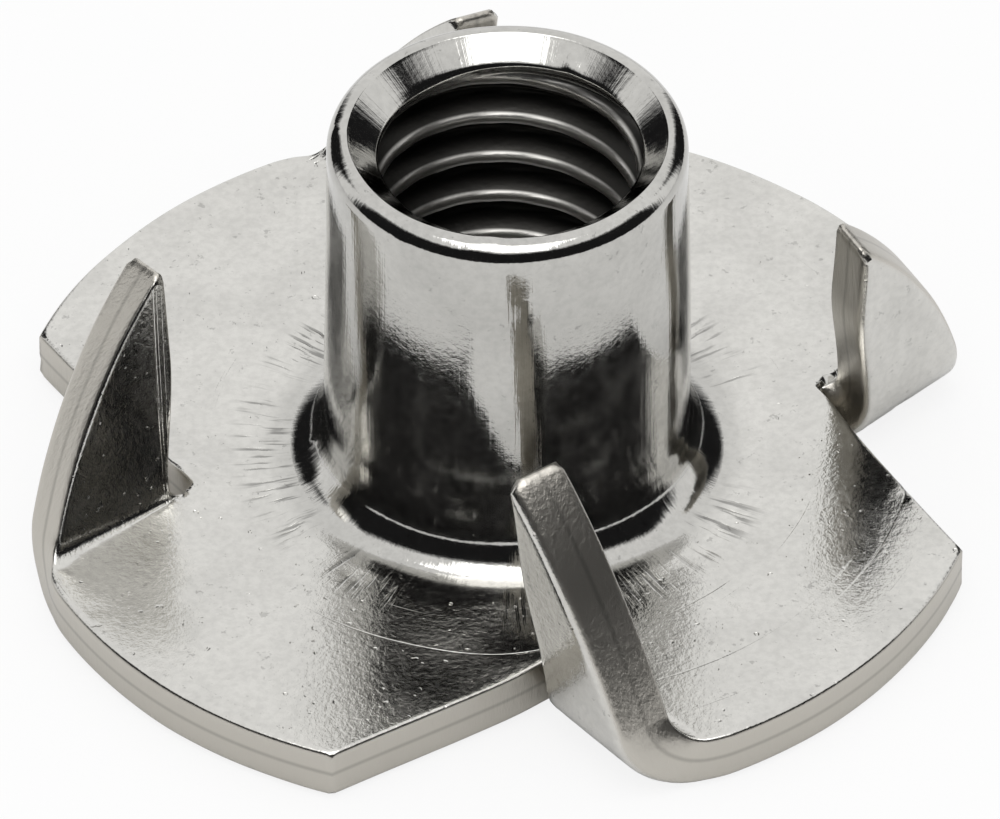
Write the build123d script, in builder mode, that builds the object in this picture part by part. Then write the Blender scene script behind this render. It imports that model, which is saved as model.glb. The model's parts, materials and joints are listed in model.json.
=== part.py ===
"""Four-prong tee nut for M6, pressed and drawn from one steel sheet.

Frame: the underside of the flange lies on Z = 0, the threaded barrel rises along +Z
on the Z axis. Millimetres. The thread is left as its plain minor bore.
"""

import os
from math import cos, radians, sin, sqrt

from build123d import *

# Sheet
sheet = 1.15  # thickness of the flange and of the prongs
edge_roll = 0.2  # rounded lower edge that blanking leaves on the rim

# Flange
flange_diameter = 19.2

# Barrel
overall_height = 9.0  # underside of the flange to the mouth of the barrel
bore_diameter = 5.0  # minor diameter of M6 x 1
barrel_wall = 1.05  # thins a little as it is drawn
root_fillet = 0.8  # barrel to the upper face of the flange
draw_radius = 1.2  # underside of the flange into the bore
countersink_depth = 0.55  # 45 degree lead-in at the mouth
mouth_round = 0.4  # outer corner of the mouth, where its wall allows

# Prongs
prong_count = 4
prong_phase = -57.5  # direction of the first fold line, in degrees
slit_offset = 5.95  # from the axis to each slit, along the fold line
fold_offset = 1.15  # from the axis to each fold line
prong_setback = 0.15  # how far the prong's edges stand back from the slit and from the rim
bend_radius = 0.5  # inside of the fold
bend_angle = 82.0
fold_relief = 0.6  # round at the end of the slit, and where the foot of the prong starts
relief_height = 2.6  # where the prong is back at its full width
tip_round = 0.12

# Worked out
flange_radius = flange_diameter / 2
bore_radius = bore_diameter / 2
barrel_radius = bore_radius + barrel_wall
barrel_foot_radius = max(barrel_radius, bore_radius + draw_radius) + 2 * root_fillet
mouth_corner = min(mouth_round, 0.9 * (barrel_wall - countersink_depth))
prong_rim_radius = flange_radius - prong_setback
prong_edge = slit_offset + prong_setback
fold_middle_radius = bend_radius + sheet / 2
fold_end = fold_offset + fold_middle_radius * radians(bend_angle)
fold_end_height = sheet / 2 + fold_middle_radius * (1 - cos(radians(bend_angle)))


def rim_point(developed):
    """Point of the prong's curved edge, as (distance along the fold, height).

    developed is the distance from the axis to the point in the flat blank, square to the fold.
    """
    along = sqrt(prong_rim_radius**2 - developed**2)
    height = fold_end_height + (developed - fold_end) * sin(radians(bend_angle))
    return along, height


with BuildPart() as prong:
    # The strip: flat where it laps into the flange, round the fold, then up
    with BuildSketch(Plane.YZ):
        with BuildLine():
            flat = Line((-fold_offset / 2, sheet / 2), (-fold_offset, sheet / 2))
            turn = JernArc(flat @ 1, flat % 1, fold_middle_radius, -bend_angle)
            PolarLine(turn @ 1, flange_radius, direction=turn % 1)
        trace(line_width=sheet)
    extrude(amount=flange_radius)

    # The outline seen square to the prong: foot, slit edge, tip, and the old rim of the blank
    developed_tip = sqrt(prong_rim_radius**2 - prong_edge**2)
    developed_start = fold_end + sheet / 2
    tip = (prong_edge, rim_point(developed_tip)[1])
    foot = slit_offset + fold_relief
    rim_foot = sqrt(flange_radius**2 - fold_offset**2)
    with BuildSketch(Plane.XZ) as outline:
        with BuildLine():
            middle = rim_point((developed_start + developed_tip) / 2)
            rim = ThreePointArc(rim_point(developed_start), middle, tip)
            Line(tip, (prong_edge, relief_height))
            Spline((prong_edge, relief_height), (foot, sheet), tangents=((0, -1), (0, -1)))
            Polyline((foot, sheet), (foot, -sheet), (rim_foot, -sheet), (rim_foot, sheet))
            Spline((rim_foot, sheet), rim @ 0, tangents=((0, 1), rim % 0))
        make_face()
        fillet(outline.vertices().sort_by(Axis.Y)[-1], radius=tip_round)
    extrude(amount=flange_radius, both=True, mode=Mode.INTERSECT)

with BuildPart() as tee_nut:
    # Flange, open where the barrel is drawn out of it
    with BuildSketch() as blank:
        Circle(2 * flange_radius)
        with PolarLocations(0, prong_count, start_angle=prong_phase):
            with Locations((slit_offset, -fold_offset)):
                Rectangle(
                    2 * flange_radius,
                    2 * flange_radius,
                    align=(Align.MIN, Align.MAX),
                    mode=Mode.SUBTRACT,
                )
        fillet(blank.vertices().sort_by_distance((0, 0))[:prong_count], radius=fold_relief)
        Circle(barrel_foot_radius - root_fillet, mode=Mode.SUBTRACT)
    extrude(amount=sheet)

    # Prongs
    with PolarLocations(0, prong_count, start_angle=prong_phase):
        add(prong.part)

    # The round rim, with its rolled lower edge, trims the flange and the folds alike
    with BuildSketch(Plane.XZ) as rim_trim:
        Rectangle(flange_radius, 2 * overall_height, align=(Align.MIN, Align.MIN))
        fillet(rim_trim.vertices().sort_by_distance((flange_radius, 0))[0], radius=edge_roll)
    revolve(axis=Axis.Z, mode=Mode.INTERSECT)

    # Barrel, drawn up out of the flange
    with BuildSketch(Plane.XZ) as wall:
        with BuildLine():
            Polyline(
                (bore_radius, 0),
                (barrel_foot_radius, 0),
                (barrel_foot_radius, sheet),
                (barrel_radius, sheet),
                (barrel_radius, overall_height),
                (bore_radius + countersink_depth, overall_height),
                (bore_radius, overall_height - countersink_depth),
                close=True,
            )
        make_face()
        fillet(wall.vertices().sort_by_distance((bore_radius, 0))[0], radius=draw_radius)
        fillet(wall.vertices().sort_by_distance((barrel_radius, sheet))[0], radius=root_fillet)
        fillet(wall.vertices().sort_by_distance((barrel_radius, overall_height))[0], radius=mouth_corner)
    revolve(axis=Axis.Z)

tee_nut.part.label = "tee_nut"

os.makedirs("parts", exist_ok=True)
export_step(tee_nut.part, "parts/tee_nut.step")
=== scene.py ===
"""Four-prong tee nut for M6: one zinc-plated steel pressing, laid out as in manufacture.

The blank is a round disc with four slits. Its quarter is meshed flat, repeated round the
axis by one Geometry Nodes tree and folded up into prongs. A second tree cuts the thread,
and a third leaves the press's waves and dents. Sizes are in millimetres and are turned to
metres when a mesh is made, because the frame is in metres.
"""

from __future__ import annotations

import json
import logging
import math
from dataclasses import dataclass
from enum import Enum
from typing import Any

import bmesh
import bpy
import numpy as np
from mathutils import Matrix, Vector
from mathutils.geometry import delaunay_2d_cdt

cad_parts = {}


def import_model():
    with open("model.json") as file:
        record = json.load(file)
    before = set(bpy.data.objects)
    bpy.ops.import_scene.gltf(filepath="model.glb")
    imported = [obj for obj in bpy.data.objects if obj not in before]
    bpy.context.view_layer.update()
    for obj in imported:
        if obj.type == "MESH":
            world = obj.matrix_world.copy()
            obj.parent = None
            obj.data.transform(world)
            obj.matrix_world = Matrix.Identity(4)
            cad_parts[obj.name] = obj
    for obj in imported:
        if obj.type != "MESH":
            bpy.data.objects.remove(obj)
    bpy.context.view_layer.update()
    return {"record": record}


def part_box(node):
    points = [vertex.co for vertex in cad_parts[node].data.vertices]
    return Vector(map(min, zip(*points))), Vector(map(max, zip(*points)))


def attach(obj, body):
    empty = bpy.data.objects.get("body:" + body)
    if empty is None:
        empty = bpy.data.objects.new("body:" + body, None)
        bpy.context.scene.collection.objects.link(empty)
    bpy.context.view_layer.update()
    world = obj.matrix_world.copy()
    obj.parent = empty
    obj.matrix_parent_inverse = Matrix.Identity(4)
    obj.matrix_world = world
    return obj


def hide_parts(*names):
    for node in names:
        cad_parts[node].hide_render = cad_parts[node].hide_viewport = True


log = logging.getLogger("tee_nut")

MM = 0.001
NODE = "tee_nut"
BODY = "root"


def smooth_step(value: np.ndarray, start: float, end: float) -> np.ndarray:
    """Rises smoothly from 0 at start to 1 at end.

    Args:
        value: Where to read the curve.
        start: Value at which the result leaves 0.
        end: Value at which the result reaches 1; it may be lower than start.

    Returns:
        The curve's height at each value, from 0 to 1.
    """
    share = np.clip((value - start) / (end - start), 0.0, 1.0)
    return share * share * (3.0 - 2.0 * share)


def polar(radius: np.ndarray | float, angle: np.ndarray | float) -> np.ndarray:
    """Points at a radius and an angle in radians, as rows of x and y."""
    return np.stack(np.broadcast_arrays(radius * np.cos(angle), radius * np.sin(angle)), axis=-1)


def evenly(start: float, end: float, spacing: float) -> np.ndarray:
    """Values from start to end, both included, no further apart than spacing."""
    return np.linspace(start, end, max(2, math.ceil(abs(end - start) / spacing) + 1))


# ---------------------------------------------------------------------------------------
# Node trees
# ---------------------------------------------------------------------------------------


class NodeSketch:
    """Short words for building any node tree: add a node, feed its sockets, take an output."""

    def __init__(self, tree: bpy.types.NodeTree) -> None:
        """Starts on an emptied tree."""
        self.tree = tree
        tree.nodes.clear()

    def node(self, kind: str, inputs: dict[Any, Any] | None = None, **settings: Any) -> bpy.types.Node:
        """Adds one node.

        Args:
            kind: The node's type name.
            inputs: What goes into each socket, by name or number: a value or another
                node's output.
            **settings: The node's own properties, such as operation.

        Returns:
            The new node.
        """
        made = self.tree.nodes.new(kind)
        for name, value in settings.items():
            setattr(made, name, value)
        for socket, value in (inputs or {}).items():
            self.feed(made.inputs[socket], value)
        return made

    def feed(self, socket: bpy.types.NodeSocket, value: Any) -> None:
        """Links an output into the socket, or sets the socket's own value."""
        if isinstance(value, bpy.types.NodeSocket):
            self.tree.links.new(value, socket)
        else:
            socket.default_value = value

    def math(self, operation: str, *values: Any) -> bpy.types.NodeSocket:
        """One Math node on up to three values or outputs."""
        made = self.node("ShaderNodeMath", dict(enumerate(values)), operation=operation)
        return made.outputs[0]

    def ramp(self, value: Any, low: float, high: float, bottom: float = 0.0, top: float = 1.0) -> Any:
        """Maps low..high smoothly on to bottom..top, held flat outside."""
        inputs = {"Value": value, "From Min": low, "From Max": high, "To Min": bottom, "To Max": top}
        made = self.node("ShaderNodeMapRange", inputs, interpolation_type="SMOOTHSTEP")
        return made.outputs["Result"]

    def vector(self, x: Any, y: Any, z: Any) -> bpy.types.NodeSocket:
        """Three numbers joined into a vector."""
        return self.node("ShaderNodeCombineXYZ", {0: x, 1: y, 2: z}).outputs[0]

    def noise(self, place: Any, scale: float, detail: float = 2.0, roughness: float = 0.5) -> Any:
        """Noise from 0 to 1 at a place."""
        inputs = {"Vector": place, "Scale": scale, "Detail": detail, "Roughness": roughness}
        return self.node("ShaderNodeTexNoise", inputs).outputs[0]

    def blend(self, share: Any, first: Any, second: Any) -> bpy.types.NodeSocket:
        """Mixes two numbers."""
        return self.node("ShaderNodeMix", {0: share, 2: first, 3: second}, data_type="FLOAT").outputs[0]

    def tint(self, share: Any, first: Any, second: Any, how: str = "MIX") -> bpy.types.NodeSocket:
        """Mixes two colours."""
        inputs = {0: share, 6: first, 7: second}
        made = self.node("ShaderNodeMix", inputs, data_type="RGBA", blend_type=how)
        return made.outputs[2]

    def shade(self, colour: Any, amount: Any) -> bpy.types.NodeSocket:
        """Multiplies a colour by a number."""
        grey = self.node("ShaderNodeCombineColor", {0: amount, 1: amount, 2: amount}).outputs[0]
        return self.tint(1.0, colour, grey, "MULTIPLY")

    def scale(self, vector: Any, factor: Any) -> bpy.types.NodeSocket:
        """Multiplies a vector by a number."""
        made = self.node("ShaderNodeVectorMath", {0: vector, "Scale": factor}, operation="SCALE")
        return made.outputs[0]

    def outward(self, x: Any, y: Any) -> bpy.types.NodeSocket:
        """Unit vector away from the Z axis."""
        made = self.node("ShaderNodeVectorMath", {0: self.vector(x, y, 0.0)}, operation="NORMALIZE")
        return made.outputs[0]

    def attribute(self, name: str) -> bpy.types.NodeSocket:
        """One of the mesh's masks, from 0 to 1, as a material reads it."""
        return self.node("ShaderNodeAttribute", attribute_name=name).outputs["Fac"]


class GeometryRule:
    """A Geometry Nodes tree with named inputs, which runs once on a mesh and leaves a plain mesh."""

    def __init__(self, name: str) -> None:
        """Makes the tree with its geometry input and output.

        Args:
            name: What the rule does, in words.
        """
        self.tree = bpy.data.node_groups.new(name, "GeometryNodeTree")
        self.sockets: dict[str, str] = {}
        for way in ("INPUT", "OUTPUT"):
            self.tree.interface.new_socket("Geometry", in_out=way, socket_type="NodeSocketGeometry")
        self.sketch = NodeSketch(self.tree)
        self.entry = self.sketch.node("NodeGroupInput")

    def size(self, name: str, kind: str = "NodeSocketFloat") -> bpy.types.NodeSocket:
        """Adds a named input.

        Args:
            name: The input's name.
            kind: Its socket type.

        Returns:
            The output that carries it inside the tree.
        """
        made = self.tree.interface.new_socket(name, in_out="INPUT", socket_type=kind)
        self.sockets[name] = made.identifier
        return self.entry.outputs[name]

    def close(self, geometry: bpy.types.NodeSocket) -> None:
        """Ends the tree in Realize Instances and Set Material."""
        finish = self.size("Finish", "NodeSocketMaterial")
        real = self.sketch.node("GeometryNodeRealizeInstances", {0: geometry})
        inputs = {"Geometry": real.outputs[0], "Material": finish}
        dressed = self.sketch.node("GeometryNodeSetMaterial", inputs)
        self.sketch.node("NodeGroupOutput", {0: dressed.outputs[0]})

    def mask(self, name: str) -> bpy.types.NodeSocket:
        """One of the mesh's masks, from 0 to 1."""
        made = self.sketch.node("GeometryNodeInputNamedAttribute", {"Name": name}, data_type="FLOAT")
        return made.outputs[0]

    def shift(self, direction: bpy.types.NodeSocket, amount: bpy.types.NodeSocket) -> None:
        """Ends the tree in moving each vertex.

        Args:
            direction: Unit vector to move along.
            amount: How far to move.
        """
        offset = self.sketch.scale(direction, amount)
        inputs = {"Geometry": self.entry.outputs["Geometry"], "Offset": offset}
        self.close(self.sketch.node("GeometryNodeSetPosition", inputs).outputs[0])

    def run(self, piece: bpy.types.Object, **values: Any) -> None:
        """Applies the rule to a piece and replaces its mesh with the plain result.

        Args:
            piece: The object whose mesh is worked on.
            **values: The named inputs, with underscores for spaces.
        """
        modifier = piece.modifiers.new(self.tree.name, "NODES")
        modifier.node_group = self.tree
        for name, value in values.items():
            modifier[self.sockets[name.replace("_", " ")]] = value
        depsgraph = bpy.context.evaluated_depsgraph_get()
        depsgraph.update()
        worked = bpy.data.meshes.new_from_object(piece.evaluated_get(depsgraph))
        before = piece.data
        piece.modifiers.remove(modifier)
        piece.data = worked
        bpy.data.meshes.remove(before)


def round_the_axis() -> GeometryRule:
    """The rule that repeats one sector round the Z axis and joins the seams.

    Returns:
        A rule with the inputs Count and Seam; each copy's vertices carry its number as station.
    """
    rule = GeometryRule("repeat round the axis")
    count = rule.size("Count", "NodeSocketInt")
    seam = rule.size("Seam")
    sketch = rule.sketch
    stations = sketch.node("GeometryNodeMeshLine", {"Count": count, "Offset": (0.0, 0.0, 0.0)})
    number = sketch.node("GeometryNodeInputIndex").outputs[0]
    turn = sketch.math("DIVIDE", sketch.math("MULTIPLY", number, math.tau), count)
    copies = sketch.node(
        "GeometryNodeInstanceOnPoints",
        {
            "Points": stations.outputs[0],
            "Instance": rule.entry.outputs["Geometry"],
            "Rotation": sketch.vector(0.0, 0.0, turn),
        },
    )
    numbered = sketch.node(
        "GeometryNodeStoreNamedAttribute",
        {"Geometry": copies.outputs[0], "Name": "station", "Value": number},
        data_type="FLOAT",
        domain="INSTANCE",
    )
    real = sketch.node("GeometryNodeRealizeInstances", {0: numbered.outputs[0]})
    joined = sketch.node("GeometryNodeMergeByDistance", {"Geometry": real.outputs[0], "Distance": seam})
    rule.close(joined.outputs[0])
    return rule


def cut_thread() -> GeometryRule:
    """The rule that cuts a right-hand thread outwards into the bore.

    Returns:
        A rule with the inputs Pitch, Depth, Crest and Root, the last two as shares of the pitch.
    """
    rule = GeometryRule("cut the thread")
    pitch, depth = rule.size("Pitch"), rule.size("Depth")
    crest, root = rule.size("Crest"), rule.size("Root")
    sketch = rule.sketch
    position = sketch.node("GeometryNodeInputPosition").outputs[0]
    split = sketch.node("ShaderNodeSeparateXYZ", {0: position})
    x, y, z = split.outputs
    turned = sketch.math("DIVIDE", sketch.math("ARCTAN2", y, x), math.tau)
    phase = sketch.math("FRACT", sketch.math("SUBTRACT", sketch.math("DIVIDE", z, pitch), turned))
    saw = sketch.math("ABSOLUTE", sketch.math("SUBTRACT", sketch.math("MULTIPLY", phase, 2.0), 1.0))
    flank = {
        "Value": sketch.math("SUBTRACT", 1.0, saw),
        "From Min": crest,
        "From Max": sketch.math("SUBTRACT", 1.0, root),
    }
    groove = sketch.node("ShaderNodeMapRange", flank).outputs[0]
    deep = sketch.math("MULTIPLY", sketch.math("MULTIPLY", groove, depth), rule.mask("bore"))
    rule.shift(sketch.outward(x, y), deep)
    return rule


def batter() -> GeometryRule:
    """The rule that leaves a pressing's slow waves and small dents along the surface's normal.

    Returns:
        A rule with the inputs Wave Size, Wave Depth, Dent Size, Dent Depth and Seed.
    """
    rule = GeometryRule("batter the surface")
    wave, wave_depth = rule.size("Wave Size"), rule.size("Wave Depth")
    dent, dent_depth = rule.size("Dent Size"), rule.size("Dent Depth")
    seed = rule.size("Seed")
    sketch = rule.sketch
    dent_offset, dent_edge, dent_floor = 7.0, 0.33, 0.18  # noise below the edge is a dent

    def field(size: Any, offset: float) -> bpy.types.NodeSocket:
        """Seeded noise whose features are about size wide."""
        inputs = {
            "Scale": sketch.math("DIVIDE", 1.0, size),
            "W": sketch.math("ADD", seed, offset),
            "Detail": 1.0,
        }
        return sketch.node("ShaderNodeTexNoise", inputs, noise_dimensions="4D").outputs[0]

    slow = sketch.math("MULTIPLY", sketch.math("SUBTRACT", field(wave, 0.0), 0.5), wave_depth)
    hit = sketch.ramp(field(dent, dent_offset), dent_edge, dent_floor)
    total = sketch.math("SUBTRACT", slow, sketch.math("MULTIPLY", hit, dent_depth))
    amount = sketch.math("MULTIPLY", total, sketch.math("SUBTRACT", 1.0, rule.mask("bore")))
    rule.shift(sketch.node("GeometryNodeInputNormal").outputs[0], amount)
    return rule


# ---------------------------------------------------------------------------------------
# Finishes
# ---------------------------------------------------------------------------------------


@dataclass(frozen=True)
class ZincFace:
    """How the plating looks on one kind of face."""

    colour: tuple[float, float, float]
    roughness: float

    @property
    def rgba(self) -> tuple[float, ...]:
        """The colour, opaque."""
        return (*self.colour, 1.0)


@dataclass(frozen=True)
class ZincFinish:
    """Bright zinc on a pressed steel part, different on each kind of face."""

    plate: ZincFace = ZincFace((0.680, 0.670, 0.638), 0.120)
    barrel: ZincFace = ZincFace((0.560, 0.552, 0.526), 0.075)
    sheared: ZincFace = ZincFace((0.560, 0.535, 0.485), 0.33)
    # The bore's near-black colour is partly darker tapped steel and partly painted shade inside the bore.
    thread: ZincFace = ZincFace((0.030, 0.029, 0.027), 0.30)
    # Painted glint: the colour the thread's crests are painted with.
    crest_glint_colour: tuple[float, ...] = (0.680, 0.665, 0.630, 1.0)
    crest_reach: float = 2.5
    mottle_size: float = 0.16
    draw_mark_reach: tuple[float, float] = (4.35, 5.7)
    draw_mark_count: float = 44.0

    def material(self) -> bpy.types.Material:
        """Builds the metal, which reads the faces' masks from the mesh's attributes.

        Returns:
            The finished material.
        """
        metal = bpy.data.materials.new("bright_zinc")
        metal.use_nodes = True
        sketch = NodeSketch(metal.node_tree)
        place = sketch.node("ShaderNodeTexCoord").outputs["Object"]
        scaled = sketch.scale(place, 1.0 / MM)
        x, y, z = sketch.node("ShaderNodeSeparateXYZ", {0: scaled}).outputs
        masks = {name: sketch.attribute(name) for name in ("shear", "through", "bore", "polish")}
        angle = sketch.math("ARCTAN2", y, x)
        squares = sketch.math("ADD", sketch.math("MULTIPLY", x, x), sketch.math("MULTIPLY", y, y))
        reach = sketch.math("SQRT", squares)
        around = sketch.outward(x, y)

        # Painted glint on the thread's crests, where the bore comes nearest the axis.
        masks["crest"] = sketch.ramp(reach, self.crest_reach + 0.12, self.crest_reach + 0.03)
        mottle = sketch.noise(scaled, 1.0 / self.mottle_size, 4.0, 0.6)
        cloud = sketch.noise(scaled, 0.7, 3.0, 0.55)
        masks["specks"] = sketch.ramp(sketch.noise(scaled, 4.0, 3.0, 0.7), 0.62, 0.72)
        masks["draws"] = self._draws(sketch, around, reach)
        marks = self._marks(sketch, masks, scaled, around, reach, angle, z)
        colour = self._colour(sketch, masks, mottle, cloud)
        roughness = self._roughness(sketch, masks, mottle, cloud)
        bump = sketch.node("ShaderNodeBump", {"Strength": 1.0, "Distance": MM, "Height": marks})
        shader = sketch.node(
            "ShaderNodeBsdfPrincipled",
            {"Base Color": colour, "Roughness": roughness, "Metallic": 1.0, "Normal": bump.outputs[0]},
        )
        sketch.node("ShaderNodeOutputMaterial", {"Surface": shader.outputs[0]})
        return metal

    def _draws(self, sketch: NodeSketch, around: Any, reach: Any) -> bpy.types.NodeSocket:
        """Radial scores that drawing the barrel leaves round its root, in patches.

        Args:
            sketch: The material's nodes.
            around: Unit vector away from the axis.
            reach: Distance from the axis.

        Returns:
            1 in a score and 0 beside it.
        """
        along = sketch.scale(around, self.draw_mark_count)
        drift = sketch.vector(0.0, 0.0, sketch.math("MULTIPLY", reach, 0.8))
        spread = sketch.node("ShaderNodeVectorMath", {0: along, 1: drift}).outputs[0]
        draws = sketch.ramp(sketch.noise(spread, 1.0, 2.0), 0.50, 0.66)
        near, far = self.draw_mark_reach
        inner, outer = sketch.ramp(reach, near - 0.3, near + 0.2), sketch.ramp(reach, far, near + 0.6)
        patches = sketch.ramp(sketch.noise(around, 2.2, 1.0), 0.40, 0.52)
        draws = sketch.math("MULTIPLY", draws, sketch.math("MULTIPLY", inner, outer))
        return sketch.math("MULTIPLY", draws, patches)

    def _colour(self, sketch: NodeSketch, masks: dict[str, Any], mottle: Any, cloud: Any) -> Any:
        """Colour of each kind of face, cloudy and mottled, with painted shade along the top of the cut wall
        and in the bore's thread grooves, and painted glints on the thread's crests.

        Args:
            sketch: The material's nodes.
            masks: The faces' masks.
            mottle: Fine noise.
            cloud: Slow noise.

        Returns:
            The colour output.
        """
        tone = sketch.tint(masks["polish"], self.plate.rgba, self.barrel.rgba)
        dull = sketch.ramp(mottle, 0.25, 0.70, 0.90, 1.02)
        dull = sketch.math("MULTIPLY", dull, sketch.ramp(cloud, 0.3, 0.7, 0.93, 1.03))
        dull = sketch.math("MULTIPLY", dull, sketch.ramp(masks["draws"], 0.0, 1.0, 1.0, 0.5))
        dull = sketch.math("MULTIPLY", dull, sketch.ramp(masks["specks"], 0.0, 1.0, 1.0, 0.74))
        tone = sketch.shade(tone, dull)
        # Painted shade: the cut wall darkens towards its top edge; a thin darker line also runs across its
        # middle.
        wall_shade_and_line = sketch.ramp(masks["through"], 0.93, 1.0, 1.0, 0.55)
        step = sketch.math("ABSOLUTE", sketch.math("SUBTRACT", masks["through"], 0.56))
        wall_shade_and_line = sketch.math("MULTIPLY", wall_shade_and_line, sketch.ramp(step, 0.0, 0.07, 0.74, 1.0))
        tone = sketch.tint(masks["shear"], tone, sketch.shade(self.sheared.rgba, wall_shade_and_line))
        # Painted shade and glint in the bore: near-black grooves, partly darker tapped steel and partly
        # painted shade, with painted glints on the crests.
        thread = sketch.tint(masks["crest"], self.thread.rgba, self.crest_glint_colour)
        return sketch.tint(masks["bore"], tone, thread)

    def _roughness(self, sketch: NodeSketch, masks: dict[str, Any], mottle: Any, cloud: Any) -> Any:
        """Roughness of each kind of face.

        Args:
            sketch: The material's nodes.
            masks: The faces' masks.
            mottle: Fine noise.
            cloud: Slow noise.

        Returns:
            The roughness output.
        """
        plate = sketch.math("ADD", self.plate.roughness, sketch.ramp(mottle, 0.3, 0.7, -0.02, 0.04))
        plate = sketch.math("ADD", plate, sketch.ramp(cloud, 0.3, 0.7, -0.04, 0.04))
        barrel = sketch.math("ADD", self.barrel.roughness, sketch.ramp(mottle, 0.35, 0.75, -0.01, 0.04))
        rough = sketch.blend(masks["polish"], plate, barrel)
        rough = sketch.blend(masks["shear"], rough, self.sheared.roughness)
        return sketch.blend(masks["bore"], rough, self.thread.roughness)

    def _marks(
        self,
        sketch: NodeSketch,
        masks: dict[str, Any],
        scaled: Any,
        around: Any,
        reach: Any,
        angle: Any,
        z: Any,
    ) -> bpy.types.NodeSocket:
        """Heights in millimetres of what pressing and handling leave on the surface.

        Args:
            sketch: The material's nodes.
            masks: The faces' masks.
            scaled: Place in millimetres.
            around: Unit vector away from the axis.
            reach: Distance from the axis.
            angle: Angle round the axis.
            z: Height.

        Returns:
            The summed height.
        """
        grain = sketch.ramp(sketch.noise(scaled, 9.0, 3.0, 0.65), 0.2, 0.8, -0.0015, 0.0015)
        pits = sketch.ramp(sketch.noise(scaled, 5.5, 1.0), 0.30, 0.20, 0.0, -0.008)
        draws = sketch.math("MULTIPLY", masks["draws"], -0.009)
        wound = sketch.vector(sketch.math("MULTIPLY", reach, 7.0), sketch.math("MULTIPLY", angle, 0.8), 0.0)
        rings = sketch.ramp(sketch.noise(wound, 1.0, 2.0), 0.66, 0.74, 0.0, -0.006)
        rings = sketch.math("MULTIPLY", rings, sketch.ramp(reach, 4.8, 5.4))
        streaks = sketch.scale(around, 26.0)
        lift = sketch.vector(0.0, 0.0, sketch.math("MULTIPLY", z, 0.25))
        streaks = sketch.node("ShaderNodeVectorMath", {0: streaks, 1: lift}).outputs[0]
        streaks = sketch.ramp(sketch.noise(streaks, 1.0, 3.0, 0.6), 0.3, 0.7, -0.0007, 0.0007)
        plate = sketch.math("ADD", sketch.math("ADD", grain, pits), sketch.math("ADD", draws, rings))
        barrel = sketch.math("ADD", sketch.math("MULTIPLY", grain, 0.3), streaks)
        total = sketch.blend(masks["polish"], plate, barrel)
        stretch = {0: scaled, 1: (9.0, 9.0, 1.4)}
        cut = sketch.node("ShaderNodeVectorMath", stretch, operation="MULTIPLY").outputs[0]
        torn = sketch.ramp(sketch.noise(cut, 1.0, 3.0, 0.7), 0.2, 0.8, -0.003, 0.003)
        total = sketch.blend(masks["shear"], total, torn)
        return sketch.blend(masks["bore"], total, sketch.math("MULTIPLY", grain, 0.6))


# ---------------------------------------------------------------------------------------
# The pressing
# ---------------------------------------------------------------------------------------


class Side(Enum):
    """The two faces of the sheet."""

    UPPER = "upper"
    LOWER = "lower"


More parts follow.
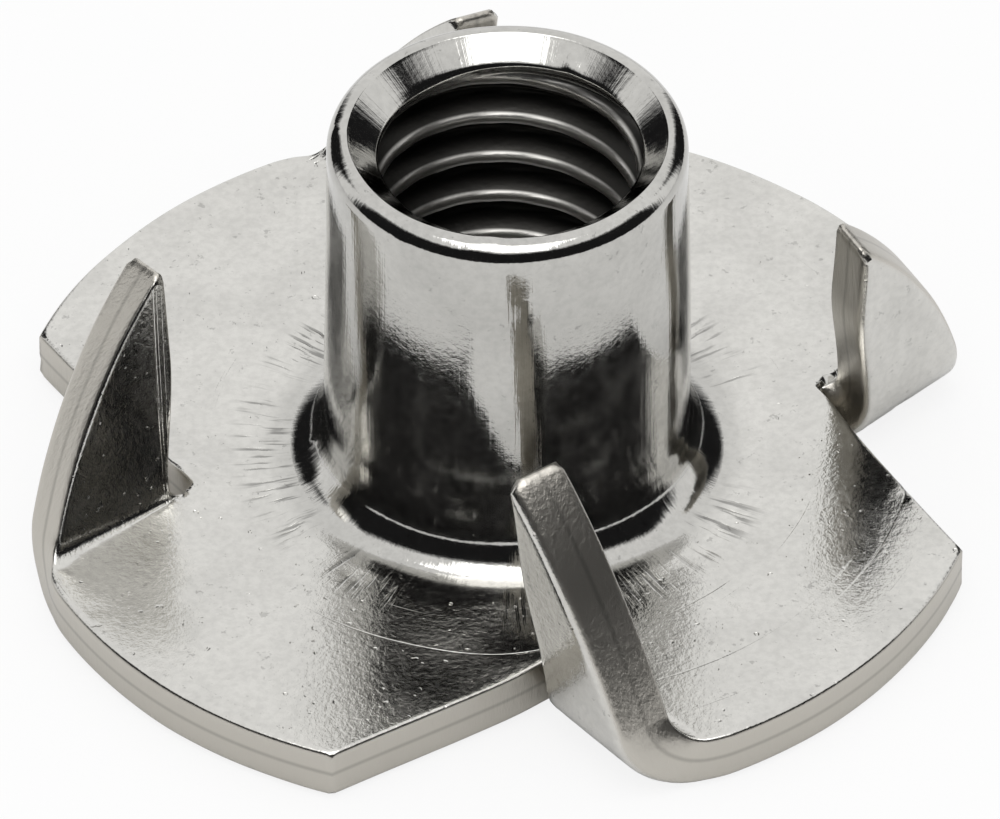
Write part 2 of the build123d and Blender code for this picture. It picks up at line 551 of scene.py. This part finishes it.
@dataclass
class SheetBlank:
    """One quarter of the flat blank, with the slit that frees a prong.

    The fold line of the prong runs along +X, and the prong lies on the -Y side of it.
    """

    sheet: float = 1.15
    rim_radius: float = 9.6
    weld_radius: float = 4.9
    seam_angle: float = 15.7
    slit_offset: float = 5.95
    fold_offset: float = 1.2
    slit_root: float = 2.05
    prong_rim_radius: float = 9.45
    prong_clearance: float = 0.14
    foot_relief: float = 0.35
    relief_rise: float = 0.9
    relief_length: float = 3.4
    root_round: float = 0.07
    tip_round: float = 0.3
    upper_edge: float = 0.075
    lower_edge: float = 0.22
    spacing: float = 0.2
    edge_spacing: float = 0.11
    edge_rows: tuple[float, ...] = (0.01, 0.024, 0.045, 0.09, 0.15, 0.22, 0.33)
    row_share: float = 0.866
    bend_spacing: float = 0.09
    bend_shift: float = 0.05
    bend_span: tuple[float, float] = (0.1, 1.2)
    wall_rows: int = 6
    columns: int = 48

    @property
    def root_middle(self) -> float:
        """Distance from the axis to the middle of the slit's root."""
        return self.slit_offset + self.root_round

    def rim(self, angle: np.ndarray) -> np.ndarray:
        """Radius of the rim at an angle, a little less on the prong than on the flange."""
        across = -self.rim_radius * np.sin(angle)
        share = smooth_step(across, self.fold_offset - 0.5, self.fold_offset + 0.9)
        return self.rim_radius - share * (self.rim_radius - self.prong_rim_radius)

    def fold_line(self, along: np.ndarray) -> np.ndarray:
        """Distance from the axis at which the fold starts, which grows from the rim to the slit."""
        share = np.clip((self.rim_radius - along) / (self.rim_radius - self.slit_offset), 0.0, 1.0)
        return self.fold_offset + share * (self.slit_root - self.fold_offset)

    def prong_edge(self, across: np.ndarray) -> np.ndarray:
        """Distance along the fold to the prong's slit edge, which necks in above the foot."""
        start = self.slit_root + self.root_round
        neck = smooth_step(across, start, start + self.relief_rise)
        neck = neck * smooth_step(across, start + self.relief_length, start + self.relief_rise)
        return self.slit_offset + self.prong_clearance + self.foot_relief * neck

    def cut_edge(self) -> np.ndarray:
        """The sheared edge, from one seam to the other, as points of the flat blank.

        Returns:
            Rows of x and y, clockwise from the seam beyond the fold line.
        """
        seam = math.radians(self.seam_angle)
        tip_across = math.sqrt(self.prong_rim_radius**2 - (self.slit_offset + self.prong_clearance) ** 2)
        tip_angle = -math.atan2(tip_across, self.slit_offset + self.prong_clearance)
        start = self.slit_root + self.root_round
        arc = evenly(seam, tip_angle, self.edge_spacing / self.rim_radius)
        rim = polar(self.rim(arc), arc)
        down = evenly(tip_across, start, self.edge_spacing)
        slit = np.stack([self.prong_edge(down), -down], axis=-1)
        turn = evenly(0.0, math.pi, 0.5)[1:-1]
        root = np.array([self.root_middle, -start]) + polar(self.root_round, turn)
        corner_across = math.sqrt(self.rim_radius**2 - self.slit_offset**2)
        up = evenly(start, corner_across, self.edge_spacing)
        petal = np.stack([np.full_like(up, self.slit_offset), -up], axis=-1)
        corner_angle = -math.atan2(corner_across, self.slit_offset)
        last = evenly(corner_angle, seam - math.pi / 2, self.edge_spacing / self.rim_radius)[1:]
        return np.concatenate([*self._rounded(rim, slit), root, petal, polar(self.rim_radius, last)])

    def _rounded(self, rim: np.ndarray, slit: np.ndarray) -> tuple[np.ndarray, ...]:
        """Rounds the prong's tip, where the rim meets the slit edge.

        Args:
            rim: Points that end at the tip.
            slit: Points that start at the tip.

        Returns:
            The rim, the round and the slit edge.
        """
        tip = slit[0]
        rim = rim[np.linalg.norm(rim - tip, axis=1) > self.tip_round]
        slit = slit[np.linalg.norm(slit - tip, axis=1) > self.tip_round]
        share = np.linspace(0.0, 1.0, 6)[1:-1, None]
        bow = (1 - share) ** 2 * rim[-1] + 2 * share * (1 - share) * tip + share**2 * slit[0]
        return rim, bow, slit

    def seam_radii(self) -> np.ndarray:
        """Radii of the points on a seam, outermost first, the rim and the weld left out."""
        rows = self.rim_radius - np.array(self.edge_rows)
        return np.concatenate([rows, evenly(rows[-1], self.weld_radius, self.spacing)[1:-1]])

    def weld_angles(self) -> np.ndarray:
        """Angles of the columns at which the blank joins the barrel."""
        seam = math.radians(self.seam_angle)
        return np.linspace(seam - math.pi / 2, seam, self.columns + 1)

    def outline(self) -> tuple[np.ndarray, int]:
        """The quarter's whole outline.

        Returns:
            Its points in order, and how many of them, from the first, are the cut edge.
        """
        edge = self.cut_edge()
        seam = math.radians(self.seam_angle)
        inward = polar(self.seam_radii(), seam - math.pi / 2)
        weld = polar(self.weld_radius, self.weld_angles())
        outward = polar(self.seam_radii()[::-1], seam)
        return np.concatenate([edge, inward, weld, outward]), len(edge)

    @staticmethod
    def depth(points: np.ndarray, edge: np.ndarray) -> np.ndarray:
        """Distance from each point to the cut edge.

        Args:
            points: Rows of x and y.
            edge: The cut edge.

        Returns:
            One distance for each point.
        """
        start, step = edge[:-1], np.diff(edge, axis=0)
        away = points[:, None] - start[None]
        share = np.clip((away * step).sum(-1) / (step * step).sum(-1), 0.0, 1.0)
        return np.linalg.norm(away - share[..., None] * step, axis=-1).min(axis=1)

    def inner_points(self, edge: np.ndarray) -> np.ndarray:
        """Points inside the outline: rows beside the cut edge, then an even field.

        Args:
            edge: The cut edge.

        Returns:
            Rows of x and y.
        """
        way = np.gradient(edge, axis=0)
        way /= np.linalg.norm(way, axis=1)[:, None]
        inward = np.stack([way[:, 1], -way[:, 0]], axis=-1)
        kept = []
        for row in self.edge_rows:
            points = edge + row * inward
            clear = self.depth(points, edge) > 0.985 * row
            kept.append(points[clear & (self._seam_gap(points) > 0.4 * self.edge_spacing)])
        past, margin = 10.0, 0.05  # beyond the rim; beside the bend
        across = np.arange(-past, past, self.spacing * self.row_share)
        wide = self._staggered(np.arange(0.0, past, self.spacing), across, self.spacing / 2, 2)
        before, after = self.bend_span
        bend = np.arange(self.fold_offset - before, self.slit_root + after, self.bend_spacing)
        close = self._staggered(np.arange(self.root_middle, past, self.spacing), -bend, self.bend_shift, 4)
        field = np.concatenate([wide, close])
        radius = np.linalg.norm(field, axis=1)
        in_bend = (-field[:, 1] > bend[0] - margin) & (-field[:, 1] < bend[-1] + margin)
        in_bend &= field[:, 0] > self.root_middle
        plain = np.arange(len(field)) < len(wide)
        clear = (radius > self.weld_radius + 0.6 * self.spacing) & (radius < self.rim_radius)
        clear &= self._seam_gap(field) > 0.5 * self.spacing
        clear &= self.depth(field, edge) > self.edge_rows[-1] + 0.4 * self.spacing
        clear &= ~(plain & in_bend)
        return np.concatenate([*kept, field[clear]])

    @staticmethod
    def _staggered(along: np.ndarray, across: np.ndarray, shift: float, cycle: int) -> np.ndarray:
        """Rows of points that are set off from one another along the row.

        Args:
            along: Where the points of the first row are.
            across: Where the rows are.
            shift: How far each row is moved from the last.
            cycle: After how many rows the moving starts again.

        Returns:
            Rows of x and y.
        """
        return np.concatenate([
            np.stack(np.broadcast_arrays(along + shift * (i % cycle), y), axis=-1)
            for i, y in enumerate(across)
        ])

    def _seam_gap(self, points: np.ndarray) -> np.ndarray:
        """Distance from each point to the nearer seam, negative outside the quarter."""
        seam = math.radians(self.seam_angle)
        upper = points @ np.array([math.sin(seam), -math.cos(seam)])
        lower = points @ np.array([math.cos(seam), math.sin(seam)])
        return np.minimum(upper, lower)

    def surface_height(self, depth: np.ndarray, side: Side) -> np.ndarray:
        """Height of a face at a distance from the cut edge, rounded at the edge itself."""
        size = self.upper_edge if side is Side.UPPER else self.lower_edge
        short = np.clip(size - depth, 0.0, size)
        drop = size - np.sqrt(np.maximum(size**2 - short**2, 0.0))
        return self.sheet - drop if side is Side.UPPER else drop


@dataclass
class BarrelProfile:
    """The drawn barrel's section, from the flange's upper face round to its underside."""

    sheet: float
    weld_radius: float
    height: float
    bore_radius: float
    root_radius: float
    mouth_radius: float
    root_fillet: float = 0.8
    draw_radius: float = 1.2
    countersink: float = 0.5
    countersink_width: float = 0.55
    lip_round: float = 0.06
    mouth_round: float = 0.38
    pitch: float = 1.0
    rows_a_pitch: int = 16

    def section(self) -> tuple[np.ndarray, np.ndarray, np.ndarray]:
        """Points of the section with their masks.

        Returns:
            Rows of radius and height, the bore mask and the polish mask.
        """
        fillet_middle = (self.root_radius + self.root_fillet, self.sheet + self.root_fillet)
        parts = [self._line((self.weld_radius, self.sheet), (fillet_middle[0], self.sheet), 0.14)]
        parts.append(self._arc(fillet_middle, self.root_fillet, 270.0, 180.0, 7.0))
        shoulder = (self.mouth_radius - self.mouth_round, self.height - self.mouth_round)
        parts.append(self._line((self.root_radius, fillet_middle[1]), (self.mouth_radius, shoulder[1]), 0.2))
        parts.append(self._arc(shoulder, self.mouth_round, 0.0, 90.0, 9.0))
        lip = (self.bore_radius + self.countersink_width + self.lip_round, self.height - self.lip_round)
        parts.append(self._line((shoulder[0], self.height), (lip[0], self.height), 0.05))
        parts.append(self._arc(lip, self.lip_round, 90.0, 140.0, 9.0))
        top, bottom = self.height - self.countersink, self.draw_radius
        parts.append(self._line(tuple(parts[-1][-1]), (self.bore_radius, top), 0.06))
        step, foot = self.pitch / self.rows_a_pitch, self.bore_radius + self.draw_radius
        parts.append(self._line((self.bore_radius, top), (self.bore_radius, bottom), step))
        parts.append(self._arc((foot, bottom), self.draw_radius, 180.0, 270.0, 7.0))
        parts.append(self._line((foot, 0.0), (self.weld_radius, 0.0), 0.25))
        points = parts[0]
        for part in parts[1:]:
            start = 1 if np.linalg.norm(part[0] - points[-1]) < 1e-6 else 0
            points = np.concatenate([points, part[start:]])
        return points, self._bore_mask(points), self._polish_mask(points)

    def _bore_mask(self, points: np.ndarray) -> np.ndarray:
        """1 where the thread is at full depth, fading at both ends of the bore."""
        inside = smooth_step(points[:, 0], self.bore_radius + 0.2, self.bore_radius + 0.02)
        height = points[:, 1]
        mouth = self.height - self.countersink
        top = smooth_step(height, mouth + 0.12, mouth - 0.25)
        return inside * top * smooth_step(height, self.draw_radius - 0.3, self.draw_radius + 0.3)

    def _polish_mask(self, points: np.ndarray) -> np.ndarray:
        """1 on the barrel and its root, fading out on the flange."""
        radius, height = points.T
        above = smooth_step(height, 0.5 * self.sheet, 0.9 * self.sheet)
        return above * smooth_step(radius, self.weld_radius - 0.05, self.root_radius + 0.9 * self.root_fillet)

    @staticmethod
    def _line(start: tuple[float, float], end: tuple[float, float], spacing: float) -> np.ndarray:
        """Points on a straight run, both ends included."""
        share = evenly(0.0, 1.0, spacing / math.dist(start, end))[:, None]
        return (1 - share) * np.array(start) + share * np.array(end)

    @staticmethod
    def _arc(middle: tuple[float, float], radius: float, start: float, end: float, step: float) -> np.ndarray:
        """Points on an arc between two angles in degrees."""
        return np.array(middle) + polar(radius, np.radians(evenly(start, end, step)))


@dataclass
class MeshDraft:
    """Vertices, faces and per-vertex masks that are gathered before a mesh is made."""

    points: np.ndarray
    faces: list[tuple[int, ...]]
    masks: dict[str, np.ndarray]

    def joined(self, other: MeshDraft) -> MeshDraft:
        """This draft with another one after it."""
        shift = len(self.points)
        faces = self.faces + [tuple(i + shift for i in face) for face in other.faces]
        masks = {name: np.concatenate([mask, other.masks[name]]) for name, mask in self.masks.items()}
        return MeshDraft(np.concatenate([self.points, other.points]), faces, masks)

    def object(self, name: str) -> bpy.types.Object:
        """Makes the object, in metres.

        Args:
            name: Name of the object and its mesh.

        Returns:
            The new object, linked to the scene.
        """
        mesh = bpy.data.meshes.new(name)
        mesh.from_pydata((self.points * MM).tolist(), [], self.faces)
        for mask_name, mask in self.masks.items():
            layer = mesh.attributes.new(mask_name, "FLOAT", "POINT")
            layer.data.foreach_set("value", mask.astype(np.float32))
        piece = bpy.data.objects.new(name, mesh)
        bpy.context.scene.collection.objects.link(piece)
        return piece


@dataclass(frozen=True)
class ProngSet:
    """How one prong came out of the press."""

    name: str
    bend: float
    lean: float = 0.0
    reach: float = 0.0


@dataclass(frozen=True)
class PressWear:
    """Slow waves and small dents that the press leaves."""

    wave_size: float = 3.2
    wave_depth: float = 0.085
    dent_size: float = 0.9
    dent_depth: float = 0.03
    seed: float = 3.0


@dataclass
class TeeNut:
    """The whole pressing."""

    blank: SheetBlank
    profile: BarrelProfile
    finish: ZincFinish
    phase: float = -57.5
    bend_radius: float = 0.5
    slit_bend_radius: float = 0.06
    rim_shift: tuple[float, float] = (-0.2, 0.0)
    shift_start: float = 5.2
    root_lift: float = 0.17
    lift_size: tuple[float, float] = (0.75, 0.9)
    lift_offset: float = 0.3
    lean_start: float = 0.4
    reach_span: tuple[float, float] = (0.6, 5.0)
    seam_join: float = 0.0012
    thread_depth_share: float = 0.54
    thread_crest_share: float = 0.16
    thread_root_share: float = 0.2
    wear: PressWear = PressWear()
    prongs: tuple[ProngSet, ...] = (
        ProngSet("front", 86.0, lean=-6.0, reach=0.75),
        ProngSet("right", 85.0, lean=-1.0, reach=0.5),
        ProngSet("rear", 80.0, lean=3.0, reach=0.8),
        ProngSet("left", 78.0, lean=-3.0, reach=0.65),
    )

    def build(self) -> bpy.types.Object:
        """Makes the finished piece.

        Returns:
            The piece, at the origin, not yet riding on a body.
        """
        metal = self.finish.material()
        quarter = self.plate_quarter().joined(self.barrel_quarter())
        piece = quarter.object("zinc_tee_nut")
        round_the_axis().run(piece, Count=len(self.prongs), Seam=self.seam_join * MM, Finish=metal)
        self.fold(piece.data)
        pitch = self.profile.pitch * MM
        cut_thread().run(
            piece,
            Pitch=pitch,
            Depth=self.thread_depth_share * pitch,
            Crest=self.thread_crest_share,
            Root=self.thread_root_share,
            Finish=metal,
        )
        batter().run(
            piece,
            Wave_Size=self.wear.wave_size * MM,
            Wave_Depth=self.wear.wave_depth * MM,
            Dent_Size=self.wear.dent_size * MM,
            Dent_Depth=self.wear.dent_depth * MM,
            Seed=self.wear.seed,
            Finish=metal,
        )
        self.close(piece.data)
        return piece

    def plate_quarter(self) -> MeshDraft:
        """A quarter of the blank as a closed slab, open at the seams and at the weld.

        Returns:
            The slab, its fold line along the first prong's direction.
        """
        blank = self.blank
        outline, edge_count = blank.outline()
        edge = outline[:edge_count]
        flat = np.concatenate([outline, blank.inner_points(edge)])
        loop = [list(range(len(outline)))]
        made = delaunay_2d_cdt([Vector(p) for p in flat.tolist()], [], loop, 1, 1e-7)
        points = np.array([tuple(p) for p in made[0]])
        triangles = [tuple(face) for face in made[2]]
        depth = blank.depth(points, edge)
        depth[depth < 1e-4] = 0.0
        place = {i: out for out, sources in enumerate(made[3]) for i in sources}
        ring = [place[i] for i in range(edge_count)]
        count = len(points)
        upper = np.column_stack([points, blank.surface_height(depth, Side.UPPER)])
        lower = np.column_stack([points, blank.surface_height(depth, Side.LOWER)])
        faces = triangles + [tuple(count + i for i in reversed(face)) for face in triangles]
        walls, wall_faces = self._walls(upper[ring], lower[ring], ring, count)
        faces += wall_faces
        every = np.concatenate([upper, lower, walls])
        shear = np.concatenate([
            smooth_step(depth, 0.035, 0.008), smooth_step(depth, 0.12, 0.03), np.ones(len(walls)),
        ])
        slit_middle = (blank.slit_offset + blank.prong_edge(-every[:, 1])) / 2
        is_prong = (-every[:, 1] > blank.fold_line(every[:, 0])) & (every[:, 0] > slit_middle)
        masks = {
            "shear": shear,
            "through": every[:, 2] / blank.sheet,
            "prong": is_prong.astype(float),
            "bore": np.zeros(len(every)),
            "polish": np.zeros(len(every)),
        }
        return MeshDraft(self._turned(every), faces, masks)

    def _walls(
        self, upper: np.ndarray, lower: np.ndarray, ring: list[int], count: int
    ) -> tuple[np.ndarray, list[tuple[int, ...]]]:
        """Rows of faces down the cut edge.

        Args:
            upper: The ring's points on the upper face.
            lower: The ring's points on the lower face.
            ring: Their numbers on the upper face.
            count: How many points a face of the slab has.

        Returns:
            The new points between the two rings, and the faces.
        """
        shares = np.linspace(0.0, 1.0, self.blank.wall_rows + 1)[1:-1]
        walls = np.concatenate([(1 - share) * upper + share * lower for share in shares])
        rows = [np.array(ring)]
        rows += [2 * count + k * len(ring) + np.arange(len(ring)) for k in range(len(shares))]
        rows.append(np.array(ring) + count)
        faces = []
        for above, below in zip(rows[:-1], rows[1:]):
            corners = zip(above[:-1], above[1:], below[1:], below[:-1])
            faces += [tuple(int(corner) for corner in face) for face in corners]
        return walls, faces

    def barrel_quarter(self) -> MeshDraft:
        """A quarter of the barrel, from its weld on the upper face to that on the underside.

        Returns:
            The quarter turn of the section.
        """
        section, bore, polish = self.profile.section()
        angles = self.blank.weld_angles()
        grid = np.array([[(r * math.cos(a), r * math.sin(a), z) for a in angles] for r, z in section])
        rows, columns = grid.shape[:2]
        faces = [
            (i * columns + j, (i + 1) * columns + j, (i + 1) * columns + j + 1, i * columns + j + 1)
            for i in range(rows - 1)
            for j in range(columns - 1)
        ]
        points = self._turned(grid.reshape(-1, 3))
        empty = np.zeros(len(points))
        masks = {
            "shear": empty,
            "through": empty,
            "prong": empty,
            "bore": np.repeat(bore, columns),
            "polish": np.repeat(polish, columns),
        }
        return MeshDraft(points, faces, masks)

    def _turned(
        self, points: np.ndarray, station: np.ndarray | float = 0.0, back: bool = False
    ) -> np.ndarray:
        """Turns points from the fold line's own frame to the part's, or back.

        Args:
            points: Rows of x, y and z.
            station: Number of each point's quarter.
            back: Whether to turn from the part's frame to the fold line's.

        Returns:
            The turned points.
        """
        turn = np.radians(self.phase + 360.0 / len(self.prongs) * np.asarray(station))
        cosine, sine = np.cos(turn), np.sin(turn) * (-1.0 if back else 1.0)
        x, y, z = points.T
        return np.stack([cosine * x - sine * y, sine * x + cosine * y, z], axis=-1)

    def fold(self, mesh: bpy.types.Mesh) -> None:
        """Folds the prongs up, each at its own angle, and draws the blank a little off centre.

        Args:
            mesh: The flat blank with its barrel, in metres.
        """
        points = np.empty(len(mesh.vertices) * 3)
        mesh.vertices.foreach_get("co", points)
        points = points.reshape(-1, 3) / MM
        station = self._read(mesh, "station").round()
        is_prong = self._read(mesh, "prong") > 0.5
        local = self._turned(points, station, back=True)
        local = self._lifted(local, is_prong)
        for number, prong in enumerate(self.prongs):
            mine = is_prong & (station == number)
            local[mine] = self._bent(local[mine], prong)
            log.info("%s prong folded to %.0f degrees", prong.name, prong.bend)
        points = self._turned(local, station)
        radius = np.linalg.norm(points[:, :2], axis=1)
        share = smooth_step(radius, self.shift_start, self.blank.rim_radius)
        points[:, :2] += share[:, None] * np.array(self.rim_shift)
        mesh.vertices.foreach_set("co", (points * MM).ravel())
        mesh.update()

    def _lifted(self, local: np.ndarray, is_prong: np.ndarray) -> np.ndarray:
        """Lifts the flange beside the slit's root, which the folding drags up."""
        blank = self.blank
        length, width = self.lift_size
        along = (local[:, 0] - blank.slit_offset) / length
        across = (-local[:, 1] - blank.slit_root - self.lift_offset) / width
        lift = self.root_lift * np.exp(-(along**2) - across**2)
        local[:, 2] += np.where(is_prong, 0.0, lift)
        return local

    def _bent(self, local: np.ndarray, prong: ProngSet) -> np.ndarray:
        """Rolls one prong's flat points round the fold and up.

        Args:
            local: Points of the prong in the fold line's frame.
            prong: How this prong came out.

        Returns:
            The points where the fold takes them.
        """
        blank, middle, full = self.blank, self.blank.sheet / 2, math.radians(prong.bend)
        start = blank.fold_line(local[:, 0])
        inwards = (start - blank.fold_offset) / (blank.slit_root - blank.fold_offset)
        radius = middle + self.bend_radius + inwards * (self.slit_bend_radius - self.bend_radius)
        away = -local[:, 1] - start
        along = local[:, 0] + math.tan(math.radians(prong.lean)) * np.maximum(away - self.lean_start, 0.0)
        away = away + prong.reach * inwards * smooth_step(away, *self.reach_span)
        turned = np.clip(away / radius, 0.0, full)
        straight = np.maximum(away - full * radius, 0.0)
        offset = local[:, 2] - middle
        across = start + (radius - offset) * np.sin(turned) + straight * math.cos(full)
        height = middle + radius - (radius - offset) * np.cos(turned) + straight * math.sin(full)
        return np.column_stack([along, -across, height])

    @staticmethod
    def _read(mesh: bpy.types.Mesh, name: str) -> np.ndarray:
        """A mask of the mesh, one value for each vertex."""
        values = np.empty(len(mesh.vertices), np.float32)
        mesh.attributes[name].data.foreach_get("value", values)
        return values.astype(float)

    @staticmethod
    def close(mesh: bpy.types.Mesh) -> None:
        """Points the faces outwards and shades them smooth."""
        work = bmesh.new()
        work.from_mesh(mesh)
        bmesh.ops.recalc_face_normals(work, faces=work.faces)
        open_edges = sum(not edge.is_manifold for edge in work.edges)
        work.to_mesh(mesh)
        work.free()
        mesh.shade_smooth()
        log.info("%s: %d faces, %d open edges", mesh.name, len(mesh.polygons), open_edges)


# ---------------------------------------------------------------------------------------
# Studio
# ---------------------------------------------------------------------------------------


@dataclass
class Studio:
    """Plain pale floor, soft light, and the dark side of the room that the metal reflects."""

    elevation: float = 41.4
    distance: float = 250.0
    lens: float = 457.2
    target: tuple[float, float, float] = (-0.148, 0.970, 1.100)
    floor_size: float = 3000.0
    floor_drop: float = 0.02
    floor_colour: float = 0.9
    floor_glow: float = 0.84
    room_light: float = 0.8
    lamp_place: tuple[float, float, float] = (0.0, -32.0, 120.0)
    lamp_size: float = 84.0
    lamp_power: float = 0.042
    card_radius: float = 90.0
    card_border: float = 0.12
    card_step: float = 4.0
    card_colour: tuple[float, ...] = (0.5, 0.5, 0.52, 1.0)
    card_light: float = 0.03
    cards: tuple[tuple[str, float, float, float, float], ...] = (
        ("front_card", 168.0, 372.0, 0.5, 54.0),
        ("left_card", 112.0, 152.0, 0.5, 45.0),
        ("right_card", 28.0, 68.0, 0.5, 45.0),
    )

    def build(self) -> None:
        """Makes the camera, the floor, the cards, the world and the lamp."""
        self.camera()
        self.floor()
        for card in self.cards:
            self.card(*card)
        self.world()
        self.softbox("overhead", self.lamp_place, self.lamp_size, self.lamp_power)
        scene = bpy.context.scene
        scene.view_settings.view_transform = "Standard"

    def camera(self) -> None:
        """The camera, above and in front of the part."""
        data = bpy.data.cameras.new("camera")
        data.lens = self.lens
        data.sensor_width = 36.0
        data.clip_start, data.clip_end = 0.01, 10.0
        camera = bpy.data.objects.new("camera", data)
        bpy.context.scene.collection.objects.link(camera)
        rise = math.radians(self.elevation)
        back = Vector((0.0, -math.cos(rise), math.sin(rise)))
        camera.location = (Vector(self.target) + back * self.distance) * MM
        camera.rotation_mode = "QUATERNION"
        camera.rotation_quaternion = (-back).to_track_quat("-Z", "Y")
        bpy.context.scene.camera = camera

    def floor(self) -> None:
        """A white floor that keeps a soft shadow under the part."""
        half = self.floor_size / 2
        corners = np.array([(-half, -half, 0.0), (half, -half, 0.0), (half, half, 0.0), (-half, half, 0.0)])
        floor = MeshDraft(corners - (0.0, 0.0, self.floor_drop), [(0, 1, 2, 3)], {}).object("floor")
        paper = bpy.data.materials.new("white_paper")
        paper.use_nodes = True
        sketch = NodeSketch(paper.node_tree)
        matte = sketch.node("ShaderNodeBsdfDiffuse", {"Color": (*[self.floor_colour] * 3, 1.0)})
        glow = sketch.node("ShaderNodeEmission", {"Color": (1.0, 1.0, 1.0, 1.0), "Strength": 1.0})
        camera_ray = sketch.node("ShaderNodeLightPath").outputs["Is Camera Ray"]
        seen = sketch.math("MULTIPLY", camera_ray, self.floor_glow)
        paper_face = sketch.node("ShaderNodeMixShader", {0: seen, 1: matte.outputs[0], 2: glow.outputs[0]})
        below = sketch.node("ShaderNodeNewGeometry").outputs["Backfacing"]
        clear = sketch.node("ShaderNodeBsdfTransparent")
        mixed = sketch.node("ShaderNodeMixShader", {0: below, 1: paper_face.outputs[0], 2: clear.outputs[0]})
        sketch.node("ShaderNodeOutputMaterial", {0: mixed.outputs[0]})
        floor.data.materials.append(paper)

    def card(self, name: str, start: float, end: float, low: float, high: float) -> None:
        """A dark curved card, which only reflections see, soft along its borders.

        Args:
            name: Name of the card.
            start: Direction of its first side, in degrees round from +X.
            end: Direction of its other side.
            low: Height of its lower border above the horizon, in degrees.
            high: Height of its upper border.
        """
        turns = np.radians(evenly(start, end, self.card_step))
        rises = np.radians(evenly(low, high, self.card_step))
        points = np.array([
            (math.cos(a) * math.cos(e), math.sin(a) * math.cos(e), math.sin(e)) for e in rises for a in turns
        ])
        count = len(turns)
        faces = [
            (i * count + j, i * count + j + 1, (i + 1) * count + j + 1, (i + 1) * count + j)
            for i in range(len(rises) - 1)
            for j in range(count - 1)
        ]
        soft = np.array([
            min(rises[-1] - e, a - turns[0], turns[-1] - a) / self.card_border
            for e in rises
            for a in turns
        ])
        cover = {"cover": np.clip(soft, 0.0, 1.0)}
        card = MeshDraft(points * self.card_radius, faces, cover).object(name)
        felt = bpy.data.materials.new("black_felt")
        felt.use_nodes = True
        sketch = NodeSketch(felt.node_tree)
        share = sketch.attribute("cover")
        clear = sketch.node("ShaderNodeBsdfTransparent")
        dark = sketch.node("ShaderNodeEmission", {"Color": self.card_colour, "Strength": self.card_light})
        mixed = sketch.node("ShaderNodeMixShader", {0: share, 1: clear.outputs[0], 2: dark.outputs[0]})
        sketch.node("ShaderNodeOutputMaterial", {0: mixed.outputs[0]})
        card.data.materials.append(felt)
        card.visible_camera = False
        card.visible_shadow = False
        card.visible_diffuse = False

    def softbox(self, name: str, place: tuple[float, float, float], size: float, power: float) -> None:
        """A square lamp that points at the part.

        Args:
            name: Name of the lamp.
            place: Where it hangs, in millimetres.
            size: Length of its side, in millimetres.
            power: Its power in watts.
        """
        data = bpy.data.lights.new(name, "AREA")
        data.shape = "SQUARE"
        data.size = size * MM
        data.energy = power
        lamp = bpy.data.objects.new(name, data)
        bpy.context.scene.collection.objects.link(lamp)
        lamp.location = Vector(place) * MM
        lamp.rotation_mode = "QUATERNION"
        lamp.rotation_quaternion = (-Vector(place)).to_track_quat("-Z", "Y")

    def world(self) -> None:
        """A white room."""
        world = bpy.data.worlds.new("white_room")
        bpy.context.scene.world = world
        world.use_nodes = True
        sketch = NodeSketch(world.node_tree)
        path = sketch.node("ShaderNodeLightPath").outputs
        seen = sketch.math("MAXIMUM", path["Is Camera Ray"], path["Is Glossy Ray"])
        seen = sketch.math("MAXIMUM", seen, path["Is Transmission Ray"])
        strength = sketch.ramp(seen, 0.0, 1.0, self.room_light, 1.0)
        room = sketch.node("ShaderNodeBackground", {"Color": (1.0, 1.0, 1.0, 1.0), "Strength": strength})
        sketch.node("ShaderNodeOutputWorld", {0: room.outputs[0]})


# ---------------------------------------------------------------------------------------


def mount_radius(record: dict[str, Any], name: str) -> float:
    """Radius of one of the record's mounts, in millimetres.

    Args:
        record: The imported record.
        name: The mount's name.

    Returns:
        Its radius.
    """
    mount = next(mount for mount in record["mounts"] if mount["name"] == name)
    return mount["dims"]["r_mm"]


def main() -> None:
    """Builds the part and its studio around the loaded frame."""
    logging.basicConfig(level=logging.INFO, format="%(name)s: %(message)s")
    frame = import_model()
    record = frame["record"]
    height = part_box(NODE)[1].z / MM
    barrel = mount_radius(record, "barrel")
    taper = 0.05  # the drawn barrel is wider at its root than at its mouth
    blank = SheetBlank()
    profile = BarrelProfile(
        sheet=blank.sheet,
        weld_radius=blank.weld_radius,
        height=height,
        bore_radius=mount_radius(record, "thread"),
        root_radius=barrel + taper,
        mouth_radius=barrel - taper,
    )
    piece = TeeNut(blank, profile, ZincFinish()).build()
    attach(piece, BODY)
    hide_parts(NODE)
    log.info("%s rides on %s", piece.name, BODY)
    Studio().build()


if __name__ == "__main__":
    main()
